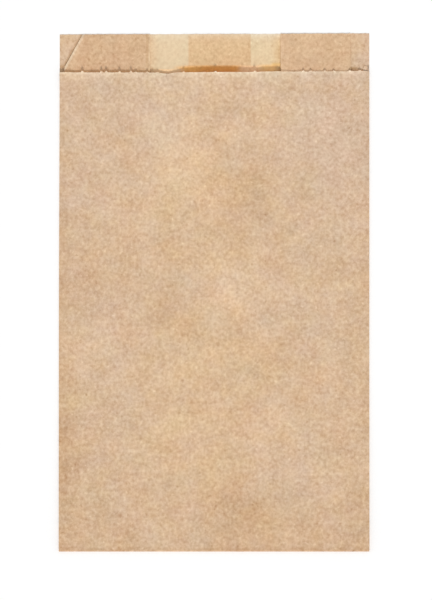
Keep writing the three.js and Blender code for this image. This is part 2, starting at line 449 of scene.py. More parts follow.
@dataclass
class ToothedCut:
    """The toothed cut that parts one bag from the next, at the mouth and at the end of the flap."""

    tube: Tube
    tilt: float = 0.0036
    front_sag: float = 0.25 * MM
    tooth_pitch: float = 4.7 * MM
    tooth_sag: float = 0.05 * MM
    nib_width: float = 1.3 * MM
    nib_reach: float = 0.6
    nib_power: float = 1.5
    lip_nib: float = 0.06 * MM
    torn_depth: float = 0.03 * MM
    torn_waves: Span = (0.5 * MM, 1.9 * MM)
    left_corner: float = 8.75 * MM
    left_notch: Span = (1.8 * MM, 2.1 * MM)
    right_corner: float = 7 * MM
    right_tab: Span = (2.4 * MM, 2.4 * MM)
    tab_power: float = 0.7
    tab_steps: int = 12
    slit: float = 0.2 * MM
    edge_step: float = 0.35 * MM
    nib_step: float = 0.08 * MM

    # Where the noise of the lip's nibs and of the torn fibres is taken
    NIB_PLANE = 8.1
    TORN_LINES = (1.3, 4.2)

    def _sag(self, x: Array) -> Array:
        """How far the front panel's cut hangs below a straight line."""
        return self.front_sag * (1.0 - (x / self.tube.half) ** 2)

    def below_front(self, x: Array, up: Array) -> Array:
        """How far below the front panel's cut these places are."""
        return self.tube.front_cut - self._sag(x) + self.tilt * x - up

    def inside_slant(self, along: Array, up: Array) -> Array:
        """Measures from the slanting cut of the left gusset's front layer.

        Args:
            along: distances across the sheet.
            up: distances from the bottom bend's axis towards the mouth.

        Returns:
            How far inside the cut these places are.
        """
        tube = self.tube
        notch, notch_top = self.left_notch
        start = np.array((tube.left_start - self.left_corner, tube.lip_cut))
        end = np.array((tube.left_start - notch, tube.front_cut + notch_top))
        slope = (end - start) / np.linalg.norm(end - start)
        return (along - start[0]) * slope[1] - (up - start[1]) * slope[0]

    def mouth_knots(self) -> Array:
        """The mouth's cut without its teeth.

        Returns:
            Rows of along and up, along the sheet.
        """
        tube = self.tube
        low, high = tube.front_cut, tube.lip_cut
        notch, notch_top = self.left_notch
        knots = [
            (0.0, high),
            (tube.left_start - self.left_corner, high),
            (tube.left_start - notch, low + notch_top),
            (tube.left_start - notch + self.slit, low - self.slit),
            (tube.left_end, low - self.slit),
            (tube.left_end + self.slit, low),
        ]
        knots += [(tube.front_along(x * MM), low + over * MM) for x, over in FRONT_WANDER]
        knots.append((tube.right_start, low))
        tab_width, tab_height = self.right_tab
        for k in range(self.tab_steps + 1):
            turn = math.pi * k / self.tab_steps
            along = tube.right_end + tab_width * (1.0 - math.cos(turn)) / 2
            knots.append((along, low - self.slit + tab_height * math.sin(turn) ** self.tab_power))
        step = tube.right_end + self.right_corner
        knots += [(step, low - self.slit), (step + self.slit, high), (tube.end, high)]
        return np.array(knots)

    def flap_knots(self) -> Array:
        """The flap's cut without its teeth.

        Returns:
            Rows of along and up, along the sheet.
        """
        tube = self.tube
        short = -tube.bend_arc - tube.flap
        long = -tube.bend_arc - tube.front_flap
        knots = [
            (0.0, short),
            (tube.left_end, short),
            (tube.left_end + self.slit, long),
            (tube.right_start - self.slit, long),
            (tube.right_start, short),
            (tube.end, short),
        ]
        return np.array(knots)

    def mouth_nibs(self) -> list[Span]:
        """Every torn nib of the mouth: the front panel's, as placed, and the lip's, one for each tooth.

        Returns:
            The place along the sheet and the height of each.
        """
        tube = self.tube
        nibs = [(tube.front_along(x * MM), height * MM) for x, height in FRONT_NIBS]
        teeth = (np.arange(int(tube.end / self.tooth_pitch)) + 0.5) * self.tooth_pitch
        heights = self.lip_nib * (1.0 + wander(teeth / MM, 0.0, self.NIB_PLANE))
        lip_ends = tube.left_start - self.left_corner, tube.right_end + self.right_corner
        on_lip = (teeth <= lip_ends[0]) | (teeth >= lip_ends[1])
        return nibs + list(zip(teeth[on_lip].tolist(), heights[on_lip].tolist()))

    def level(self, along: Array, knots: Array) -> Array:
        """Works out how far up a cut is, without its teeth.

        Args:
            along: distances across the sheet.
            knots: the cut's rows of along and up.

        Returns:
            Distances up, of the length of along.
        """
        tube = self.tube
        x = tube.flat_x(along)
        on_front = (along > tube.left_end) & (along < tube.right_start) & (knots[0, 1] > 0.0)
        sag = np.where(on_front, self._sag(x), 0.0)
        return np.interp(along, knots[:, 0], knots[:, 1]) + self.tilt * x - sag

    def edge(self, knots: Array, nibs: list[Span]) -> Array:
        """Draws a cut through its knots, with nibs, shallow teeth and torn fibres.

        Args:
            knots: rows of along and up.
            nibs: place and height of each nib.

        Returns:
            Rows of along and up, in order along the sheet, with one at every station.
        """
        along = self._edge_places(knots, nibs)
        up = self.level(along, knots)
        phase = np.mod(along / self.tooth_pitch, 1.0) - 0.5
        up -= self.tooth_sag * 4 * phase * phase
        for wave, line in zip(self.torn_waves, self.TORN_LINES):
            up += self.torn_depth * wander(along / wave, line, 0.0)
        for middle, height in nibs:
            from_middle = np.abs(along - middle) / (self.nib_width / 2)
            up += height * np.maximum(0.0, 1.0 - from_middle**2) ** self.nib_power
        return np.column_stack((along, up))

    def _edge_places(self, knots: Array, nibs: list[Span]) -> Array:
        """Spreads points along a cut: evenly, at its knots and stations, and closely over each nib.

        Args:
            knots: rows of along and up.
            nibs: place and height of each nib.

        Returns:
            Distances across the sheet, in order.
        """
        end = self.tube.end
        stations = self.tube.stations[:, 0]
        spread = np.arange(-self.nib_reach, self.nib_reach, self.nib_step / self.nib_width) * self.nib_width
        places = [np.arange(0.0, end, self.edge_step), knots[:, 0]]
        places += [middle + spread for middle, _ in nibs]
        loose = np.unique(np.concatenate(places))
        near = np.min(np.abs(loose[:, None] - stations[None, :]), axis=1) < self.nib_step / 2
        loose = loose[~near & (loose >= 0.0) & (loose <= end)]
        apart = np.concatenate(([True], np.diff(loose) > self.nib_step / 4))
        return np.unique(np.concatenate((loose[apart], stations)))


@dataclass
class Spring:
    """How the empty bag springs open where it lies, and how its free edges curl."""

    tube: Tube
    cut: ToothedCut

    # The swell of the front panel and the gussets
    side_crown: float = 0.25 * MM
    middle_crown: float = 1.0 * MM
    middle_crown_x: float = 7 * MM
    middle_crown_width: float = 22 * MM
    right_crown: float = 0.3 * MM
    right_crown_x: float = 38 * MM
    right_crown_width: float = 15 * MM
    left_spring: float = 0.2 * MM
    right_spring: float = 0.75 * MM
    crown_run: float = 70 * MM
    side_fade: float = 10 * MM
    ripple: float = 0.12 * MM
    ripple_length: float = 26 * MM
    mouth_taper: float = 0.33 * MM

    # How the lip is pressed flat past the front panel's cut
    lip_press: float = 0.5
    spring_at_lip: float = 0.15
    press_run: float = 0.6

    # The curl of the front panel's edge, which changes from left to right
    left_flare: float = 0.88 * MM
    right_flare: float = 0.24 * MM
    flare_change: Span = (20 * MM, 30 * MM)
    flare_run: float = 1.5 * MM
    bend_run: float = 4 * MM
    nib_lift: float = 0.9 * MM
    nib_lift_run: float = 0.5 * MM
    fold_flare: float = 0.3
    fold_fade: float = 2.5 * MM

    # The curl of the corners
    corner_flare: float = 0.5 * MM
    corner_flare_run: float = 2.2 * MM
    corner_lift: float = 1.0 * MM
    corner_lift_run: float = 2.4 * MM
    corner_lift_width: float = 3.6 * MM
    corner_depth: float = 4 * MM
    lip_fade: float = 0.1
    step_flare: float = 0.2 * MM
    tab_curl: float = 0.02 * MM
    tab_curl_power: float = 1.5

    # How the layers come down past the ends of those that are turned under
    step_clearance: float = 0.5 * MM
    step_run: float = 3 * MM
    settle_run: float = 15 * MM

    # Where the ripples' noise is taken
    RIPPLE_PLANE = 3.7

    def steps(self) -> tuple[Span, Span]:
        """Where the layers come down past the flap, and past the front panel's longer one.

        Returns:
            Two distances up for each, where the step begins and where it ends.
        """
        flap, front_flap = self.tube.flap, self.tube.front_flap
        past_flap = (flap + self.step_clearance, flap + self.step_run)
        return past_flap, (front_flap + self.step_clearance, front_flap + self.settle_run)

    def _crown(self, x: Array, y: Array) -> Array:
        """Works out how far the front panel springs up over its own side folds.

        Args:
            x: places across the bag.
            y: places from the bottom fold to the mouth.

        Returns:
            Heights, of the length of x.
        """
        half = self.tube.half
        broad = self.side_crown * (1.0 - (x / half) ** 2)
        broad += self.middle_crown * hump(x - self.middle_crown_x, self.middle_crown_width)
        broad += self.right_crown * hump(x - self.right_crown_x, self.right_crown_width)
        ripples = 1.0 + wander(x / self.ripple_length, y / self.ripple_length, self.RIPPLE_PLANE)
        used = laid(FRONT_SWELLS + FRONT_CREASES, x, y) * MM + self.ripple * ripples
        return broad + used * smooth((half - np.abs(x)) / self.side_fade)

    def _front_flare(self, x: Array, up: Array) -> Array:
        """Works out how the front panel's free edge curls up, and bends where it was torn or pressed.

        Args:
            x: places across the bag.
            up: distances from the bottom bend's axis towards the mouth.

        Returns:
            Heights, of the length of x.
        """
        past_cut = self.cut.below_front(x, up)
        below = np.maximum(past_cut, -self.cut.slit)
        first, last = self.flare_change
        to_right = smooth((x - first) / (last - first))
        height = self.left_flare + (self.right_flare - self.left_flare) * to_right
        curl = height * np.exp(-below / self.flare_run)
        curl += self.nib_lift * (1.0 - to_right / 2) * smooth(-past_cut / self.nib_lift_run)
        for bend in EDGE_BENDS:
            across = hump(x / MM - bend.x, bend.width)
            curl -= bend.depth * MM * across * np.exp(-below / self.bend_run)
        from_fold = smooth((self.tube.half - np.abs(x)) / self.fold_fade)
        return curl * (self.fold_flare + (1.0 - self.fold_flare) * from_fold)

    def _corner_raise(self, x: Array, up: Array) -> Array:
        """Works out how the mouth's left corner, with both layers of its fold, stands up.

        Args:
            x: places across the bag.
            up: distances from the bottom bend's axis towards the mouth.

        Returns:
            Heights, of the length of x.
        """
        away = np.abs(self.cut.below_front(x, up))
        near = np.exp(-away / self.corner_lift_run)
        return self.corner_lift * near * hump(x + self.tube.half, self.corner_lift_width)

    def _corner_curl(self, along: Array, up: Array) -> Array:
        """Works out how the gussets' front layers curl at the slanting cut, the square step and the tab.

        Args:
            along: distances across the sheet.
            up: distances from the bottom bend's axis towards the mouth.

        Returns:
            Heights, of the length of along.
        """
        tube, cut = self.tube, self.cut
        inside = np.maximum(cut.inside_slant(along, up), 0.0)
        from_lip = smooth((tube.lip_cut - up) / (self.lip_fade * tube.lip))
        over_front = up - tube.front_cut
        from_front = smooth(over_front / cut.left_notch[1])
        left = self.corner_flare * from_lip * from_front * np.exp(-inside / self.corner_flare_run)
        past_fold = along - tube.right_end
        past_step = np.maximum(past_fold - cut.right_corner, 0.0)
        step = self.step_flare * np.exp(-past_step / self.flare_run)
        tab_width, tab_height = cut.right_tab
        tab = self.tab_curl * np.clip(over_front / tab_height, 0.0, 1.0) ** self.tab_curl_power
        right = np.where(past_fold < tab_width, tab, step)
        above = smooth(1.0 + over_front / self.corner_depth)
        return np.where(along < tube.left_start, left, right * above)

    def _lift(self, up: Array, height: Array) -> Array:
        """Works out how high the turned-under layers hold a layer of the bag.

        Args:
            up: distances from the bottom bend's axis towards the mouth.
            height: the height of the layer in the flat tube.

        Returns:
            Heights, of the length of up.
        """
        tube = self.tube
        (flap_start, flap_end), (front_start, front_end) = self.steps()
        turned_stack = tube.front + tube.layer
        over_all = turned_stack * np.interp(up, (flap_start, flap_end), (1.0, 0.0))
        over_front = tube.layer * np.interp(up, (front_start, front_end), (1.0, 0.0))
        back = np.maximum(over_all, over_front)
        front = turned_stack * np.interp(up, (flap_start, self.crown_run), (1.0, 0.0))
        share = np.maximum(0.0, height - tube.layer) / (tube.front - tube.layer)
        return back + (front - back) * share

    def place(self, along: Array, up: Array, side: int) -> Array:
        """Folds points of the flat sheet to where they lie.

        Args:
            along: distances across the sheet.
            up: distances from the bottom bend's axis towards the mouth.
            side: 1 for the paper's outer face and -1 for its inner face.

        Returns:
            One row of x, y and z for each point.
        """
        tube = self.tube
        knots = tube.stations[:, 0]
        x, height, face_x, face_z, front, left, right = (
            np.interp(along, knots, values) for values in tube.stations[:, 1:].T
        )
        over_front = smooth((up - tube.front_cut) / (self.press_run * tube.lip))
        settling = 1.0 - (1.0 - self.spring_at_lip) * over_front
        reach = np.clip((tube.half - np.abs(x)) / tube.left_gusset, 0.0, 1.0)
        rise = front * self._crown(x, tube.axis_y + up)
        rise += (left * self.left_spring + right * self.right_spring) * reach * settling
        upper = np.clip(height / tube.layer - 1.0, 0.0, 1.0) * (left + right)
        free = front * self._front_flare(x, up) + upper * self._corner_curl(along, up)
        free += (front + upper) * self._corner_raise(x, up)
        pressed = height * (1.0 - self.lip_press * over_front)
        top = pressed + rise * smooth(up / self.crown_run) + free + side * face_z * tube.paper / 2
        radius = tube.back_bend + top
        angle = np.clip(-up / tube.bend_arc, 0.0, 1.0) * math.pi
        bent = (up < 0.0) & (up > -tube.bend_arc)
        flat_y = np.where(up >= 0.0, tube.axis_y + up, tube.axis_y - up - tube.bend_arc)
        y = np.where(bent, tube.axis_y - radius * np.sin(angle), flat_y)
        lying = self._lift(up, height) + tube.paper / 2 + top
        z = np.where(up >= 0.0, lying, tube.axis_z + radius * np.cos(angle))
        x = x + side * face_x * tube.paper / 2
        taper = self.mouth_taper * smooth((up - self.crown_run) / (tube.length - self.crown_run))
        return np.column_stack((x + taper * (tube.half - x) / tube.width, y, z))


@dataclass
class ToneAndPaintedLight:
    """How light, how warm and how pale the paper is from place to place, with painted light and shade."""

    tube: Tube
    cut: ToothedCut

    # The front panel
    # Painted shade: darker towards the bottom, along the bottom bend and along the side folds
    low_shade: float = 0.045
    low_start: float = -70 * MM
    low_run: float = 25 * MM
    bend_shade: float = 0.1
    bend_width: float = 0.8 * MM
    side_shade: float = 0.025
    side_width: float = 3 * MM
    # A painted highlight along the front panel's cut, strongest in the middle
    edge_highlight: float = 0.33
    edge_highlight_run: float = 1.6 * MM
    middle_highlight: float = 0.24
    middle_x: float = 7 * MM
    middle_width: float = 22 * MM

    # The gussets and the back, left and right
    gusset_tones: Span = (0.005, 0.04)
    # Painted light along the gussets' inner folds
    crease_lights: Span = (0.04, 0.1)
    crease_width: float = 0.25 * MM
    corner_tone: float = 0.015
    right_corner_cool: float = 0.35
    lip_pales: Span = (0.4, 0.75)
    lip_pale_run: float = 1.2 * MM

    def values(self, along: Array, up: Array) -> dict[str, Array]:
        """Works out the paper's tones with their painted light and shade, and which of it is gusset.

        Args:
            along: distances across the sheet.
            up: distances from the bottom bend's axis towards the mouth.

        Returns:
            The values by the name of the mesh's attribute.
        """
        tube = self.tube
        front = (along > tube.left_start) & (along < tube.right_end)
        tucked = (along > tube.fold_middle(0)) & (along < tube.fold_middle(5)) & ~front
        on_front = self._front(tube.flat_x(along), up)
        elsewhere = self._elsewhere(along, up)
        values = {name: np.where(front, on_front[name], elsewhere[name]) for name in on_front}
        values["gusset"] = tucked.astype(float)
        return values

    def _front(self, x: Array, up: Array) -> dict[str, Array]:
        """Works out the front panel's tone, tint and paleness, with painted shade and a painted highlight.

        Args:
            x: places across the bag.
            up: distances from the bottom bend's axis towards the mouth.

        Returns:
            Its tone, tint and paleness.
        """
        tube = self.tube
        y = tube.axis_y + up
        tone = laid(FRONT_TONES, x, y) / 100
        # Painted shade: darker towards the bottom, along the bottom bend and along the side folds
        tone -= self.low_shade * smooth((self.low_start - y) / self.low_run)
        from_bend = np.maximum(np.maximum(up, -tube.bend_arc - up), 0.0)
        tone -= self.bend_shade * hump(from_bend, self.bend_width)
        tone -= self.side_shade * hump(tube.half - np.abs(x), self.side_width)
        # A painted highlight along the front panel's cut, strongest in the middle
        below = np.maximum(self.cut.below_front(x, up), 0.0)
        pale = self.edge_highlight + self.middle_highlight * hump(x - self.middle_x, self.middle_width)
        pale = pale * np.exp(-below / self.edge_highlight_run)
        return {"tone": tone, "tint": 0.5 + laid(FRONT_TINTS, x, y), "pale": pale}

    def _elsewhere(self, along: Array, up: Array) -> dict[str, Array]:
        """Works out the gussets' and the back's tone, with painted light along the inner folds.

        Args:
            along: distances across the sheet.
            up: distances from the bottom bend's axis towards the mouth.

        Returns:
            Their tone, tint and paleness.
        """
        tube = self.tube
        outer_left, outer_right = tube.stations[tube.folds[[0, 5], -1], 0].tolist()
        inner_left, inner_right = tube.fold_middle(1), tube.fold_middle(4)
        left_corner = (along > outer_left) & (along <= inner_left)
        right_corner = (along >= inner_right) & (along < outer_right)
        left_tone, right_tone = self.gusset_tones
        tone = left_tone * ((along > inner_left) & (along < tube.left_start))
        tone += right_tone * ((along > tube.right_end) & (along < inner_right))
        tone += self.corner_tone * (left_corner | right_corner)
        # Painted light along the gussets' inner folds
        for fold, crease in zip((inner_left, inner_right), self.crease_lights):
            tone += crease * hump(along - fold, self.crease_width)
        left_pale, right_pale = self.lip_pales
        pale = left_pale * (along < outer_left) + right_pale * (along > outer_right)
        pale = pale * np.exp(-np.maximum(tube.lip_cut - up, 0.0) / self.lip_pale_run)
        width = self.cut.right_corner
        to_corner = smooth((tube.flat_x(along) - tube.half + width) / width)
        return {"tone": tone, "tint": 0.5 - self.right_corner_cool * to_corner * right_corner, "pale": pale}


@dataclass
class EdgeBand:
    """The strip of the flat sheet between a whole row and a cut edge, meshed finer towards the edge.

    towards is 1 for the mouth, where the edge lies above the row, and -1 for the flap. graded has a row
    for each line of points: its distance from the edge, and their spacing along it.
    """

    tube: Tube
    cut: ToothedCut
    row_up: float
    knots: Array
    edge: Array
    towards: int
    graded: Array
    clearance: float = 1 * MM
    crowding: float = 0.45

    # The triangulation's kind of result, and how near in millimetres two points are one
    INSIDE_ONLY = 1
    DOUBLED = 1e-7

    def mesh(self) -> tuple[Array, list[list[int]]]:
        """Makes the strip.

        Returns:
            Its points, with the whole row's stations first, and the triangles over them.
        """
        stations = self.tube.stations[:, 0]
        across = len(stations)
        row = np.column_stack((stations, np.full(across, self.row_up)))
        points = [tuple(point) for point in np.concatenate((row, self.edge)).tolist()]
        chains = self._fold_chains(points)
        self._fill(points)
        edge_ids = range(across, across + len(self.edge))
        ring = [*range(across), *chains[-1][1:-1], *reversed(edge_ids), *chains[0][-2:0:-1]]
        if self.towards < 0:
            ring.reverse()
        lines = [pair for chain in chains for pair in zip(chain[:-1], chain[1:])]
        flat = [Vector((along / MM, up / MM)) for along, up in points]
        made, _, faces, *_ = delaunay_2d_cdt(flat, lines, [ring], self.INSIDE_ONLY, self.DOUBLED)
        if len(made) != len(points):
            raise RuntimeError("a cut edge's strip has doubled points")
        return np.array(points), faces

    def _is_clear(self, up: float) -> bool:
        """Whether this distance up is clear of the whole row."""
        return self.towards * (up - self.row_up) > self.clearance

    def _fold_chains(self, points: list[Span]) -> list[list[int]]:
        """Adds points along every fold and both side edges, so that no triangle crosses one.

        Args:
            points: the strip's points so far, which these are added to.

        Returns:
            The points' numbers from the whole row to the edge, for each of those lines.
        """
        stations = self.tube.stations[:, 0].tolist()
        on_edge = {along: len(stations) + k for k, along in enumerate(self.edge[:, 0].tolist())}
        chains = []
        for k in sorted({0, len(stations) - 1, *self.tube.folds.ravel().tolist()}):
            top = on_edge[stations[k]]
            chain = [k]
            for distance in reversed(self.graded[1::2, 0].tolist()):
                up = points[top][1] - self.towards * distance
                if self._is_clear(up):
                    chain.append(len(points))
                    points.append((stations[k], up))
            chains.append([*chain, top])
        return chains

    def _fill(self, points: list[Span]) -> None:
        """Adds the lines of points that follow the edge, clear of the folds and of the points so far.

        Args:
            points: the strip's points so far, which these are added to.
        """
        search = kdtree.KDTree(len(points))
        for k, (along, up) in enumerate(points):
            search.insert((along, up, 0.0), k)
        search.balance()
        folds = self.tube.stations[self.tube.folds.ravel(), 0]
        for distance, spacing in self.graded.tolist():
            alongs = np.arange(spacing / 2, self.tube.end, spacing)
            ups = self.cut.level(alongs, self.knots) - self.towards * distance
            for along, up in zip(alongs.tolist(), ups.tolist()):
                if not self._is_clear(up) or np.min(np.abs(folds - along)) < spacing / 2:
                    continue
                if search.find((along, up, 0.0))[2] > min(spacing, distance) * self.crowding:
                    points.append((along, up))


@dataclass
class FoldedBag:
    """The bag's one sheet: both faces of the paper and its cut edges, folded as it lies."""

    width: float
    length: float
    bend_steps: int = 12
    row_step: float = 1.2 * MM
    mouth_band: float = 8 * MM
    # Lines of points near a free edge, in millimetres: distance from it, and spacing along it. The flap's
    # edge does without the first ones.
    graded_rows: tuple[Span, ...] = (
        (0.14, 0.18), (0.32, 0.22), (0.55, 0.3), (0.9, 0.45), (1.4, 0.7), (2.1, 1.0), (3.1, 1.4),
        (4.6, 1.6), (6.2, 1.6), (9, 2.6), (12, 3.0), (15, 3.0), (18, 3.0), (20.5, 3.0),
    )
    fine_rows: int = 4
    sharp_angle: float = 40.0
    layout_margin: float = 0.8 * MM

    def __post_init__(self) -> None:
        """Folds the tube, and gives it its cut, its spring, its tones and its painted light and shade."""
        self.tube = Tube(self.width, self.length)
        self.cut = ToothedCut(self.tube)
        self.spring = Spring(self.tube, self.cut)
        self.tone_and_light = ToneAndPaintedLight(self.tube, self.cut)

    def front_height(self) -> float:
        """The height of the front panel beside its middle swell."""
        return self.tube.front + self.spring.side_crown

    def cut_y(self) -> float:
        """The y of the front panel's cut."""
        return self.tube.axis_y + self.tube.front_cut

    def _rows(self) -> Array:
        """The rows that run right across the sheet, from the flap to below the front panel's cut.

        Returns:
            Their distances up.
        """
        tube = self.tube
        top = tube.front_cut - self.mouth_band
        bend = np.linspace(-tube.bend_arc, 0.0, self.bend_steps + 1)
        body = np.linspace(0.0, top, round(top / self.row_step) + 1)
        rows = np.concatenate(([-tube.bend_arc - tube.flap / 2], bend, body, *self.spring.steps()))
        rows = np.unique(rows)
        return rows[np.concatenate(([True], np.diff(rows) > tube.paper))]

    def _flat_sheet(self) -> tuple[Array, list[list[int]]]:
        """Meshes the flat sheet.

        Returns:
            Its points as rows of along and up, and anticlockwise faces over them.
        """
        stations = self.tube.stations[:, 0]
        rows = self._rows()
        across = len(stations)
        points = [np.column_stack((stations, np.full(across, up))) for up in rows]
        faces = [
            [r * across + k, r * across + k + 1, (r + 1) * across + k + 1, (r + 1) * across + k]
            for r in range(len(rows) - 1)
            for k in range(across - 1)
        ]
        count = across * len(rows)
        graded = np.array(self.graded_rows) * MM
        ends = (
            (self.cut.mouth_knots(), self.cut.mouth_nibs(), 1, len(rows) - 1, graded),
            (self.cut.flap_knots(), [], -1, 0, graded[self.fine_rows :]),
        )
        for knots, nibs, towards, row, lines in ends:
            edge = self.cut.edge(knots, nibs)
            band = EdgeBand(self.tube, self.cut, float(rows[row]), knots, edge, towards, lines)
            made, triangles = band.mesh()
            ids = np.concatenate((row * across + np.arange(across), count + np.arange(len(made) - across)))
            points.append(made[across:])
            count += len(made) - across
            faces += [ids[triangle].tolist() for triangle in triangles]
        return np.concatenate(points), faces

    def build(self, finishes: dict[Skin, bpy.types.Material]) -> bpy.types.Object:
        """Makes the bag's mesh: both faces of the paper, and a wall along every cut edge.

        Args:
            finishes: the material of each surface.

        Returns:
            The bag's object, at the origin.
        """
        flat, faces = self._flat_sheet()
        count = len(flat)
        places = np.concatenate([self.spring.place(*flat.T, side) for side in (1, -1)])
        inner = [[count + i for i in (face[0], *reversed(face[1:]))] for face in faces]
        directed = {(a, b) for face in faces for a, b in zip(face, face[1:] + face[:1])}
        rim = sorted((a, b) for a, b in directed if (b, a) not in directed)
        walls = [[count + a, count + b, b, a] for a, b in rim]
        mesh = bpy.data.meshes.new("folded_bag")
        mesh.from_pydata(places.tolist(), [], faces + inner + walls)
        skins = [Skin.OUTSIDE] * len(faces) + [Skin.INSIDE] * len(inner) + [Skin.CUT] * len(walls)
        for skin in Skin:
            mesh.materials.append(finishes[skin])
        mesh.polygons.foreach_set("material_index", [skin.value for skin in skins])
        mesh.polygons.foreach_set("use_smooth", [True] * len(skins))
        self._lay_out(mesh, flat, skins)
        for name, value in self.tone_and_light.values(*flat.T).items():
            layer = mesh.attributes.new(name, "FLOAT", "POINT")
            layer.data.foreach_set("value", np.concatenate((value, value)).astype(np.float32))
        mesh.set_sharp_from_angle(angle=math.radians(self.sharp_angle))
        mesh.validate()
        mesh.update()
        bag = bpy.data.objects.new("folded_bag", mesh)
        bpy.context.collection.objects.link(bag)
        return bag

    def _lay_out(self, mesh: bpy.types.Mesh, flat: Array, skins: list[Skin]) -> None:
        """Gives the mesh its flat sheet in metres, and both of its faces one above the other in a square.

        Args:
            mesh: the bag's mesh, with the outer face's points before the inner face's.
            flat: the flat sheet's points.
            skins: the surface of each polygon.
        """
        count = len(flat)
        corners = np.empty(len(mesh.loops), dtype=np.int64)
        mesh.loops.foreach_get("vertex_index", corners)
        totals = np.array([len(polygon.vertices) for polygon in mesh.polygons])
        is_wall = np.repeat([skin is Skin.CUT for skin in skins], totals)
        inside = corners >= count
        places = flat[corners % count]
        low, high = flat.min(axis=0), flat.max(axis=0)
        outward = np.sign(places - (low + high) / 2) * self.cut.slit
        in_metres = places + np.where((is_wall & inside)[:, None], outward, 0.0)
        margin = self.layout_margin
        scale = 1.0 / max(high[0] - low[0] + 2 * margin, 2 * (high[1] - low[1] + 2 * margin))
        square = (in_metres - low + margin) * scale
        square[:, 1] += np.where(inside & ~is_wall, 0.5, 0.0)
        for name, layout in (("sheet", in_metres), ("OFBake", square)):
            mesh.uv_layers.new(name=name).uv.foreach_set("vector", layout.astype(np.float32).ravel())


class Graph:
    """Short ways to add and join the nodes of one tree."""

    def __init__(self, tree: bpy.types.NodeTree) -> None:
        """Starts from an empty tree."""
        self.tree = tree
        tree.nodes.clear()

    def node(self, kind: str, settings: dict | None = None, **inputs: object) -> bpy.types.Node:
        """Adds a node.

        Args:
            kind: the node's type.
            settings: its properties.
            inputs: its sockets by name, with _ for a space, each a value or another node's socket.

        Returns:
            The node.
        """
        node = self.tree.nodes.new(kind)
        for name, value in (settings or {}).items():
            setattr(node, name, value)
        for name, value in inputs.items():
            self.feed(node.inputs[name.replace("_", " ")], value)
        return node

    def feed(self, socket: Socket, value: object) -> None:
        """Fills a socket.

        Args:
            socket: the socket.
            value: another node's socket that is linked to it, or a plain value that it is set to.
        """
        if isinstance(value, Socket):
            self.tree.links.new(value, socket)
        else:
            socket.default_value = value

    def _worked(self, kind: str, operation: str, values: tuple[object, ...]) -> Socket:
        """Adds a node that works out one operation.

        Args:
            kind: the node's type.
            operation: the operation.
            values: what it works on, values or sockets in their order.

        Returns:
            The result.
        """
        node = self.node(kind, {"operation": operation})
        for socket, value in zip(node.inputs, values):
            self.feed(socket, value)
        return node.outputs[0]

    def maths(self, operation: str, *values: object) -> Socket:
        """A Math node's result for these values or sockets."""
        return self._worked("ShaderNodeMath", operation, values)

    def vectors(self, operation: str, *values: object) -> Socket:
        """A Vector Math node's result for these values or sockets."""
        return self._worked("ShaderNodeVectorMath", operation, values)

    def attribute(self, name: str) -> Socket:
        """The value of one of the mesh's attributes."""
        return self.node("ShaderNodeAttribute", {"attribute_name": name}).outputs["Fac"]

    def mixed(self, share: object, first: object, second: object) -> Socket:
        """Mixes two colours.

        Args:
            share: how much of the second there is, from 0 to 1.
            first: the colour at 0.
            second: the colour at 1.

        Returns:
            The mix.
        """
        node = self.node("ShaderNodeMix", {"data_type": "RGBA"})
        for name, value in zip(("Factor_Float", "A_Color", "B_Color"), (share, first, second)):
            self.feed(next(s for s in node.inputs if s.identifier == name), value)
        return next(s for s in node.outputs if s.identifier == "Result_Color")

    def between(self, value: object, low: float, high: float) -> Socket:
        """Turns a value into a share.

        Args:
            value: the value.
            low: where the share is 0.
            high: where the share is 1.

        Returns:
            The share, which rises smoothly between them.
        """
        limits = {"Value": value, "From_Min": low, "From_Max": high}
        node = self.node("ShaderNodeMapRange", {"interpolation_type": "SMOOTHSTEP"}, **limits)
        return node.outputs["Result"]

    def end(self, kind: str, shader: bpy.types.Node) -> None:
        """Joins a shader to the tree's output, which is of this type."""
        self.node(kind, Surface=shader.outputs[0])


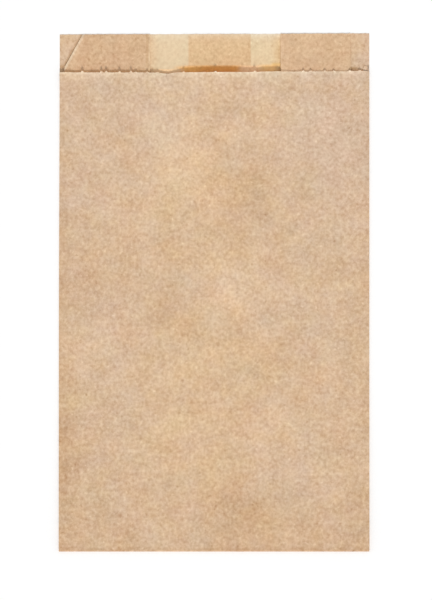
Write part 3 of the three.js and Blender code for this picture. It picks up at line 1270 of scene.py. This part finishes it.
class KraftPulp:
    """The pattern that every surface of the paper shares: grain, fibres, flecks, clouds, tint and blush."""

    GRAIN_SCALE = 800.0
    COARSE_SCALE = 470.0
    COARSE_TURN = 0.6
    FINE_SHARE = 0.59
    FIBRE_SCALE = 330.0
    FIBRE_STRETCH = 6.0
    FIBRE_TURNS = (0.9, 1.5, 2.1)
    GRAIN_DETAIL = 2.0
    SPECK_DETAIL = 1.0
    SOFT_DETAIL = 4.0
    FLECK_SCALE = 560.0
    FLECK_LIMITS = (0.66, 0.80)
    CLOUD_SCALE = 115.0
    TINT_SCALE = 110.0
    TINT_ROUGHNESS = 0.6
    BLUSH_SCALE = 80.0
    BLUSH_ROUGHNESS = 0.62
    BLUSH_SHIFT = (0.0, 0.0, 0.083)

    def __init__(self) -> None:
        """Builds the node group once."""
        self.group = bpy.data.node_groups.new("kraft_pulp", "ShaderNodeTree")
        sockets = self.group.interface
        sockets.new_socket("Place", in_out="INPUT", socket_type="NodeSocketVector")
        sockets.new_socket("Seed", in_out="INPUT", socket_type="NodeSocketFloat")
        graph = Graph(self.group)
        given = graph.node("NodeGroupInput").outputs
        shift = graph.node("ShaderNodeCombineXYZ", Z=given["Seed"]).outputs[0]
        place = graph.vectors("ADD", given["Place"], shift)
        apart = graph.vectors("ADD", place, self.BLUSH_SHIFT)
        patterns = {
            "Grain": self._grain(graph, place),
            "Fibres": self._fibres(graph, place),
            "Flecks": self._flecks(graph, place),
            "Clouds": self._noise(graph, place, self.CLOUD_SCALE, self.SOFT_DETAIL),
            "Tint": self._noise(graph, place, self.TINT_SCALE, self.SOFT_DETAIL, self.TINT_ROUGHNESS),
            "Blush": self._noise(graph, apart, self.BLUSH_SCALE, self.SOFT_DETAIL, self.BLUSH_ROUGHNESS),
        }
        for name in patterns:
            sockets.new_socket(name, in_out="OUTPUT", socket_type="NodeSocketFloat")
        graph.node("NodeGroupOutput", **patterns)

    @staticmethod
    def _noise(graph: Graph, place: Socket, scale: float, detail: float, roughness: float = 0.5) -> Socket:
        """Makes soft noise.

        Args:
            graph: the group's nodes.
            place: the place on the sheet.
            scale: how many waves it has in a metre.
            detail: how many finer layers it has.
            roughness: how strong the finer layers are.

        Returns:
            The noise, about a half.
        """
        kind = {"noise_dimensions": "3D"}
        sizes = {"Scale": scale, "Detail": detail, "Roughness": roughness}
        return graph.node("ShaderNodeTexNoise", kind, Vector=place, **sizes).outputs[0]

    def _grain(self, graph: Graph, place: Socket) -> Socket:
        """Makes fine and coarser grain, turned against each other so that no pattern shows.

        Args:
            graph: the group's nodes.
            place: the place on the sheet.

        Returns:
            The grain, about a half.
        """
        turned = graph.node("ShaderNodeMapping", Vector=place, Rotation=(0.0, 0.0, self.COARSE_TURN))
        coarse = self._noise(graph, turned.outputs[0], self.COARSE_SCALE, self.GRAIN_DETAIL)
        fine = self._noise(graph, place, self.GRAIN_SCALE, self.GRAIN_DETAIL)
        rest = graph.maths("MULTIPLY", coarse, 1.0 - self.FINE_SHARE)
        return graph.maths("MULTIPLY_ADD", fine, self.FINE_SHARE, rest)

    def _flecks(self, graph: Graph, place: Socket) -> Socket:
        """Makes small light and dark specks.

        Args:
            graph: the group's nodes.
            place: the place on the sheet.

        Returns:
            1 in the light ones, -1 in the dark ones, and 0 between them.
        """
        made = self._noise(graph, place, self.FLECK_SCALE, self.SPECK_DETAIL)
        light = graph.between(made, *self.FLECK_LIMITS)
        dark = graph.between(made, *[1.0 - limit for limit in self.FLECK_LIMITS])
        return graph.maths("SUBTRACT", light, dark)

    def _fibres(self, graph: Graph, place: Socket) -> Socket:
        """Makes long thin streaks that lie more along the bag than across it.

        Args:
            graph: the group's nodes.
            place: the place on the sheet.

        Returns:
            The highest of the streaks.
        """
        streaks = []
        narrow = (1.0, 1.0 / self.FIBRE_STRETCH, 1.0)
        for turn in self.FIBRE_TURNS:
            way = {"Rotation": (0.0, 0.0, turn), "Scale": narrow}
            drawn = graph.node("ShaderNodeMapping", {"vector_type": "TEXTURE"}, Vector=place, **way)
            streaks.append(self._noise(graph, drawn.outputs[0], self.FIBRE_SCALE, self.SPECK_DETAIL))
        highest = graph.maths("MAXIMUM", streaks[0], streaks[1])
        return graph.maths("MAXIMUM", highest, streaks[2])


@dataclass(frozen=True)
class Band:
    """A band of painted light and shade near the mouth, up and down the bag or leaning, in millimetres.

    start and end are each two distances from the bag's middle, between which the colour comes or goes.
    over is two distances over the front panel's cut, between which it comes in from above, or None where
    it runs up to the lip. lean is how far it moves to the right for each step towards the lip, and calm
    is how far it hides the paper's grain.
    """

    colour: Colour
    start: Span
    end: Span
    over: Span | None = None
    lean: float = 0.0
    calm: float = 0.0


@dataclass(frozen=True)
class MouthBands:
    """Bands of painted light and shade near the mouth, laid over the paper's own colour in their order.

    cut is the y of the front panel's cut. reach is two distances over it in millimetres, between which all
    the bands fade in. mask names the mesh's attribute that they keep to, or is None where they go right
    across.
    """

    bands: tuple[Band, ...]
    cut: float
    reach: Span
    mask: str | None = None

    def lay(self, graph: Graph, colour: Socket, tone: Socket) -> tuple[Socket, Socket]:
        """Lays the bands over a colour.

        Args:
            graph: the material's nodes.
            colour: the paper's own colour.
            tone: how far the paper's grain, tones and painted light and shade make it lighter or darker.

        Returns:
            The colour with its bands, and the tone that is left.
        """
        place = graph.node("ShaderNodeTexCoord").outputs["Object"]
        split = graph.node("ShaderNodeSeparateXYZ", Vector=place).outputs
        x = graph.maths("DIVIDE", split["X"], MM)
        over = graph.maths("DIVIDE", graph.maths("SUBTRACT", split["Y"], self.cut), MM)
        shown = graph.between(over, *self.reach)
        if self.mask is not None:
            shown = graph.maths("MULTIPLY", shown, graph.attribute(self.mask))
        for band in self.bands:
            across = graph.maths("MULTIPLY_ADD", over, -band.lean, x) if band.lean else x
            limits = [graph.between(across, *band.start), graph.between(across, *band.end[::-1])]
            if band.over is not None:
                limits.append(graph.between(over, *band.over))
            share = shown
            for limit in limits:
                share = graph.maths("MULTIPLY", share, limit)
            colour = graph.mixed(share, colour, (*band.colour, 1.0))
            if band.calm:
                tone = graph.maths("MULTIPLY", tone, graph.maths("MULTIPLY_ADD", share, -band.calm, 1.0))
        return colour, tone


@dataclass(frozen=True)
class KraftFinish:
    """One surface of the kraft paper.

    cast is how much more the tone changes the green and the blue than the red, and blush is how far the
    paper's colour wanders in each.
    """

    name: str
    warm: Colour
    cool: Colour
    seed: float
    pale: Colour = (0.765, 0.665, 0.51)
    grain: float = 0.84
    fibre: float = 0.25
    cloud: float = 0.3
    fleck: float = 0.15
    cast: Colour = (1.0, 1.38, 1.67)
    tint_spread: float = 1.8
    blush: Colour = (0.11, -0.055, -0.064)
    roughness: float = 0.76
    fibre_roughness: float = 0.16
    relief: float = 0.035 * MM
    fibre_relief: float = 0.6
    shine: float = 0.25

    # The mean of the pulp's fibres, where its grain and its clouds have a half
    FIBRE_MIDDLE = 0.6

    def _tone(self, graph: Graph, pulp: bpy.types.NodeOutputs) -> Socket:
        """Works out how far grain, clouds, fibres, flecks, tones and painted light and shade change the
        paper.

        Args:
            graph: the material's nodes.
            pulp: the outputs of the paper's pattern.

        Returns:
            The change, about 0.
        """
        middle = (self.grain + self.cloud) / 2 + self.fibre * self.FIBRE_MIDDLE
        tone = graph.maths("SUBTRACT", graph.attribute("tone"), middle)
        shares = {"Grain": self.grain, "Clouds": self.cloud, "Fibres": self.fibre, "Flecks": self.fleck}
        for name, share in shares.items():
            tone = graph.maths("MULTIPLY_ADD", pulp[name], share, tone)
        return tone

    def _tinted(self, graph: Graph, pulp: bpy.types.NodeOutputs) -> Socket:
        """Works out the paper's own colour, between its cool and its warm one.

        Args:
            graph: the material's nodes.
            pulp: the outputs of the paper's pattern.

        Returns:
            The colour.
        """
        tint = graph.maths("SUBTRACT", graph.attribute("tint"), self.tint_spread / 2)
        tint = graph.maths("MULTIPLY_ADD", pulp["Tint"], self.tint_spread, tint)
        return graph.mixed(tint, (*self.cool, 1.0), (*self.warm, 1.0))

    def material(self, pulp: KraftPulp, bands: MouthBands | None = None) -> bpy.types.Material:
        """Makes the surface's material.

        Args:
            pulp: the paper's shared pattern.
            bands: the bands of painted light and shade near the mouth, where the surface has them.

        Returns:
            The material.
        """
        made = bpy.data.materials.new(self.name)
        made.use_nodes = True
        graph = Graph(made.node_tree)
        place = graph.node("ShaderNodeUVMap", {"uv_map": "sheet"}).outputs[0]
        out = graph.node("ShaderNodeGroup", {"node_tree": pulp.group}, Place=place, Seed=self.seed).outputs
        colour, tone = self._tinted(graph, out), self._tone(graph, out)
        if bands is not None:
            colour, tone = bands.lay(graph, colour, tone)
        # The pale attribute mixes in a painted highlight along the front panel's cut, and paler paper
        # towards the lip's top edge
        colour = graph.mixed(graph.attribute("pale"), colour, (*self.pale, 1.0))
        shade = graph.vectors("MULTIPLY_ADD", tone, self.cast, (1.0, 1.0, 1.0))
        blush = graph.maths("SUBTRACT", out["Blush"], 0.5)
        shade = graph.vectors("MULTIPLY_ADD", blush, self.blush, shade)
        relief = graph.maths("MULTIPLY_ADD", out["Fibres"], self.fibre_relief, out["Grain"])
        bump = graph.node("ShaderNodeBump", Height=relief, Strength=1.0, Distance=self.relief)
        surface = graph.node(
            "ShaderNodeBsdfPrincipled",
            Base_Color=graph.vectors("MULTIPLY", colour, shade),
            Roughness=graph.maths("MULTIPLY_ADD", out["Fibres"], self.fibre_roughness, self.roughness),
            Specular_IOR_Level=self.shine,
            Normal=bump.outputs[0],
        )
        graph.end("ShaderNodeOutputMaterial", surface)
        return made


OUTSIDE = KraftFinish("kraft_outside", (0.702, 0.480, 0.282), (0.672, 0.483, 0.342), 0.0)
INSIDE = KraftFinish(
    "kraft_inside",
    (0.690, 0.452, 0.264),
    (0.672, 0.452, 0.282),
    0.31,
    pale=(0.88, 0.78, 0.62),
    grain=0.74,
    fibre=0.24,
    cloud=0.17,
)
CUT_EDGE = KraftFinish("kraft_cut_edge", (0.80, 0.60, 0.42), (0.79, 0.61, 0.45), 0.57, relief=0.02 * MM)

# The slanting cut's lean, and where its line meets the front panel's cut
SLANT = 0.552
SLANT_FOOT = -59.22
# The inside from left to right, in painted light and shade: a shade line along the gusset's fold and
# warmer shade beside it, light that comes through single paper from the white ground, the lap, which
# lets less of it through, and single paper again, with shade towards the right fold
LIP_BANDS = (
    Band((0.64, 0.41, 0.235), (-26.7, -26.1), (-25.7, -25.2)),
    Band((0.760, 0.540, 0.330), (-25.2, -25.0), (-20.0, -18.0)),
    Band((0.790, 0.612, 0.395), (-25.2, -20.5), (-10.6, -8.8), calm=0.52),
    Band((0.755, 0.508, 0.286), (-10.5, -9.2), (13.9, 14.2), calm=0.18),
    Band((0.780, 0.545, 0.305), (13.9, 14.4), (25.5, 25.9)),
    Band((0.790, 0.602, 0.374), (13.9, 14.4), (21.5, 25.5), calm=0.36),
)
# Painted light in the front panel's shadow: the glow in the shade of the mouth, and the light that the
# front panel's edge throws back
MOUTH_GLOW = (
    Band((0.80, 0.54, 0.23), (21.5, 23.0), (25.5, 25.8), (4.2, 2.9)),
    Band((0.93, 0.485, 0.150), (-17.0, -10.0), (8.0, 12.0), (3.0, 1.5)),
    Band((0.88, 0.400, 0.110), (-8.0, -2.0), (8.0, 12.0), (3.0, 1.5)),
    Band((0.99, 0.62, 0.350), (8.0, 12.0), (15.5, 20.5), (3.1, 1.7)),
    Band((0.99, 0.61, 0.26), (15.5, 20.5), (25.5, 25.8), (3.5, 2.0)),
    Band((0.78, 0.51, 0.24), (23.0, 25.0), (25.5, 25.8), (2.9, 1.9)),
    Band((0.78, 0.48, 0.25), (-70.0, -69.0), (-25.5, -22.5), (1.2, 0.3)),
    Band((0.93, 0.63, 0.36), (-25.5, -22.5), (-14.5, -10.5), (1.5, 0.8)),
    Band((0.96, 0.68, 0.43), (25.8, 26.2), (51.0, 52.0), (0.9, 0.3)),
)
# Painted shade beside the right tab, painted light on the tab with painted shade along its right side and
# its foot, and a painted highlight on the rim of the slanting cut
GUSSET_BANDS = (
    Band((0.45, 0.28, 0.15), (51.7, 52.9), (54.5, 55.0), (2.5, 1.45)),
    Band((0.73, 0.525, 0.365), (57.2, 58.2), (58.6, 59.4), (2.8, 1.6)),
    Band((0.52, 0.38, 0.27), (58.8, 59.5), (62.0, 63.0), (2.8, 2.0)),
    Band((0.60, 0.43, 0.30), (56.0, 57.0), (62.0, 63.0), (1.2, 0.7)),
    Band(
        (0.765, 0.575, 0.39),
        (SLANT_FOOT - 0.6, SLANT_FOOT - 0.4),
        (SLANT_FOOT + 0.9, SLANT_FOOT + 1.8),
        lean=SLANT,
    ),
)
INSIDE_BANDS = LIP_BANDS + MOUTH_GLOW + GUSSET_BANDS
INSIDE_REACH = (-20.0, -8.0)
# Painted light and shade on the corners of the gussets' back layers: shade in the open end of the left
# fold, shade beside the right tab and light under it, shade along the tab's own rim, and the slanting
# cut's shade
CORNER_BANDS = (
    Band((0.58, 0.375, 0.215), (-61.0, -60.5), (-58.5, -57.9), (3.2, 2.3)),
    Band((0.45, 0.27, 0.14), (51.8, 53.0), (53.8, 57.6), (2.5, 1.45)),
    Band((0.80, 0.50, 0.28), (51.5, 52.5), (59.0, 60.0), (1.35, 0.75)),
    Band((0.50, 0.37, 0.27), (59.0, 59.6), (62.0, 63.0), (3.2, 2.3)),
    Band(
        (0.60, 0.395, 0.235),
        (SLANT_FOOT - 0.9, SLANT_FOOT - 0.4),
        (SLANT_FOOT + 0.2, SLANT_FOOT + 0.5),
        lean=SLANT,
    ),
)
CORNER_REACH = (-0.1, 0.1)


@dataclass
class Studio:
    """The pale floor, the soft light and the camera straight above the bag."""

    pixels_per_mm: float = 2.588
    centre_px: Span = (214.1, 292.8)
    lens: float = 120.0
    sensor: float = 36.0
    fill: float = 0.62
    key: float = 0.38
    key_elevation: float = 45.0
    key_azimuth: float = 4.0
    key_spread: float = 9.0
    floor_size: float = 8.0
    floor_white: float = 0.95
    floor_roughness: float = 0.95
    floor_lift: float = 0.06

    def build(self, front_height: float) -> None:
        """Makes the whole studio.

        Args:
            front_height: the height of the front panel, at which the photo's scale holds.
        """
        self._floor()
        self._world()
        self._key_light()
        self._camera(front_height)

    def _floor(self) -> None:
        """Makes a white floor that keeps the bag's shadow."""
        half = self.floor_size / 2
        mesh = bpy.data.meshes.new("floor")
        corners = [(-half, -half, 0.0), (half, -half, 0.0), (half, half, 0.0), (-half, half, 0.0)]
        mesh.from_pydata(corners, [], [(0, 1, 2, 3)])
        paint = bpy.data.materials.new("floor_white")
        paint.use_nodes = True
        graph = Graph(paint.node_tree)
        surface = graph.node(
            "ShaderNodeBsdfPrincipled",
            Base_Color=(*[self.floor_white] * 3, 1.0),
            Roughness=self.floor_roughness,
            Specular_IOR_Level=0.0,
            Emission_Color=(1.0, 1.0, 1.0, 1.0),
            Emission_Strength=graph.maths("MULTIPLY", self._seen_directly(graph), self.floor_lift),
        )
        graph.end("ShaderNodeOutputMaterial", surface)
        mesh.materials.append(paint)
        floor = bpy.data.objects.new("floor", mesh)
        bpy.context.collection.objects.link(floor)
        LOG.info("floor: %.0f m wide", self.floor_size)

    @staticmethod
    def _seen_directly(graph: Graph) -> Socket:
        """Tells what is seen from what only gives light.

        Args:
            graph: the nodes of the floor or the surround.

        Returns:
            1 for rays from the camera, and for what a mirror or glass shows.
        """
        path = graph.node("ShaderNodeLightPath").outputs
        mirrored = graph.maths("MAXIMUM", path["Is Glossy Ray"], path["Is Transmission Ray"])
        return graph.maths("MAXIMUM", path["Is Camera Ray"], mirrored)

    def _world(self) -> None:
        """Makes an even white surround that lights from all sides, and looks white."""
        world = bpy.data.worlds.new("studio")
        bpy.context.scene.world = world
        world.use_nodes = True
        graph = Graph(world.node_tree)
        strength = graph.maths("MULTIPLY_ADD", self._seen_directly(graph), 1.0 - self.fill, self.fill)
        light = graph.node("ShaderNodeBackground", Color=(1.0, 1.0, 1.0, 1.0), Strength=strength)
        graph.end("ShaderNodeOutputWorld", light)

    def _key_light(self) -> None:
        """Makes one wide soft lamp, from below the photo's lower edge."""
        elevation = math.radians(self.key_elevation)
        lamp = bpy.data.lights.new("key", "SUN")
        lamp.energy = self.key * math.pi / math.sin(elevation)
        lamp.angle = math.radians(self.key_spread)
        light = bpy.data.objects.new("key", lamp)
        light.rotation_euler = (math.pi / 2 - elevation, 0.0, math.radians(self.key_azimuth))
        bpy.context.collection.objects.link(light)

    def _camera(self, front_height: float) -> None:
        """Makes a long lens that looks straight down, with the mouth at the top of the picture.

        Args:
            front_height: the height at which the photo's scale holds.
        """
        long_side = max(PHOTO_SIZE) / self.pixels_per_mm * MM
        shot = bpy.data.cameras.new("camera")
        shot.lens = self.lens
        shot.sensor_width = self.sensor
        camera = bpy.data.objects.new("camera", shot)
        x = (PHOTO_SIZE[0] / 2 - self.centre_px[0]) / self.pixels_per_mm * MM
        y = (self.centre_px[1] - PHOTO_SIZE[1] / 2) / self.pixels_per_mm * MM
        camera.location = (x, y, front_height + long_side * self.lens / self.sensor)
        bpy.context.collection.objects.link(camera)
        bpy.context.scene.camera = camera
        bpy.context.scene.view_settings.view_transform = "Standard"


def main() -> None:
    """Builds the bag and its studio."""
    low, high = (Vector(corner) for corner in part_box("paper_bag"))
    bag = FoldedBag(width=high.x - low.x, length=high.y - low.y)
    pulp = KraftPulp()
    cut = bag.cut_y()
    finishes = {
        Skin.OUTSIDE: OUTSIDE.material(pulp, MouthBands(CORNER_BANDS, cut, CORNER_REACH, "gusset")),
        Skin.INSIDE: INSIDE.material(pulp, MouthBands(INSIDE_BANDS, cut, INSIDE_REACH)),
        Skin.CUT: CUT_EDGE.material(pulp),
    }
    sheet = bag.build(finishes)
    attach(sheet, "root")
    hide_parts("paper_bag")
    triangles = sum(len(polygon.vertices) - 2 for polygon in sheet.data.polygons)
    LOG.info("%s: %d triangles, sheet %.1f mm wide", sheet.name, triangles, bag.tube.end / MM)
    Studio().build(bag.front_height())


if __name__ == "__main__":
    logging.basicConfig(level=logging.INFO)
    main()
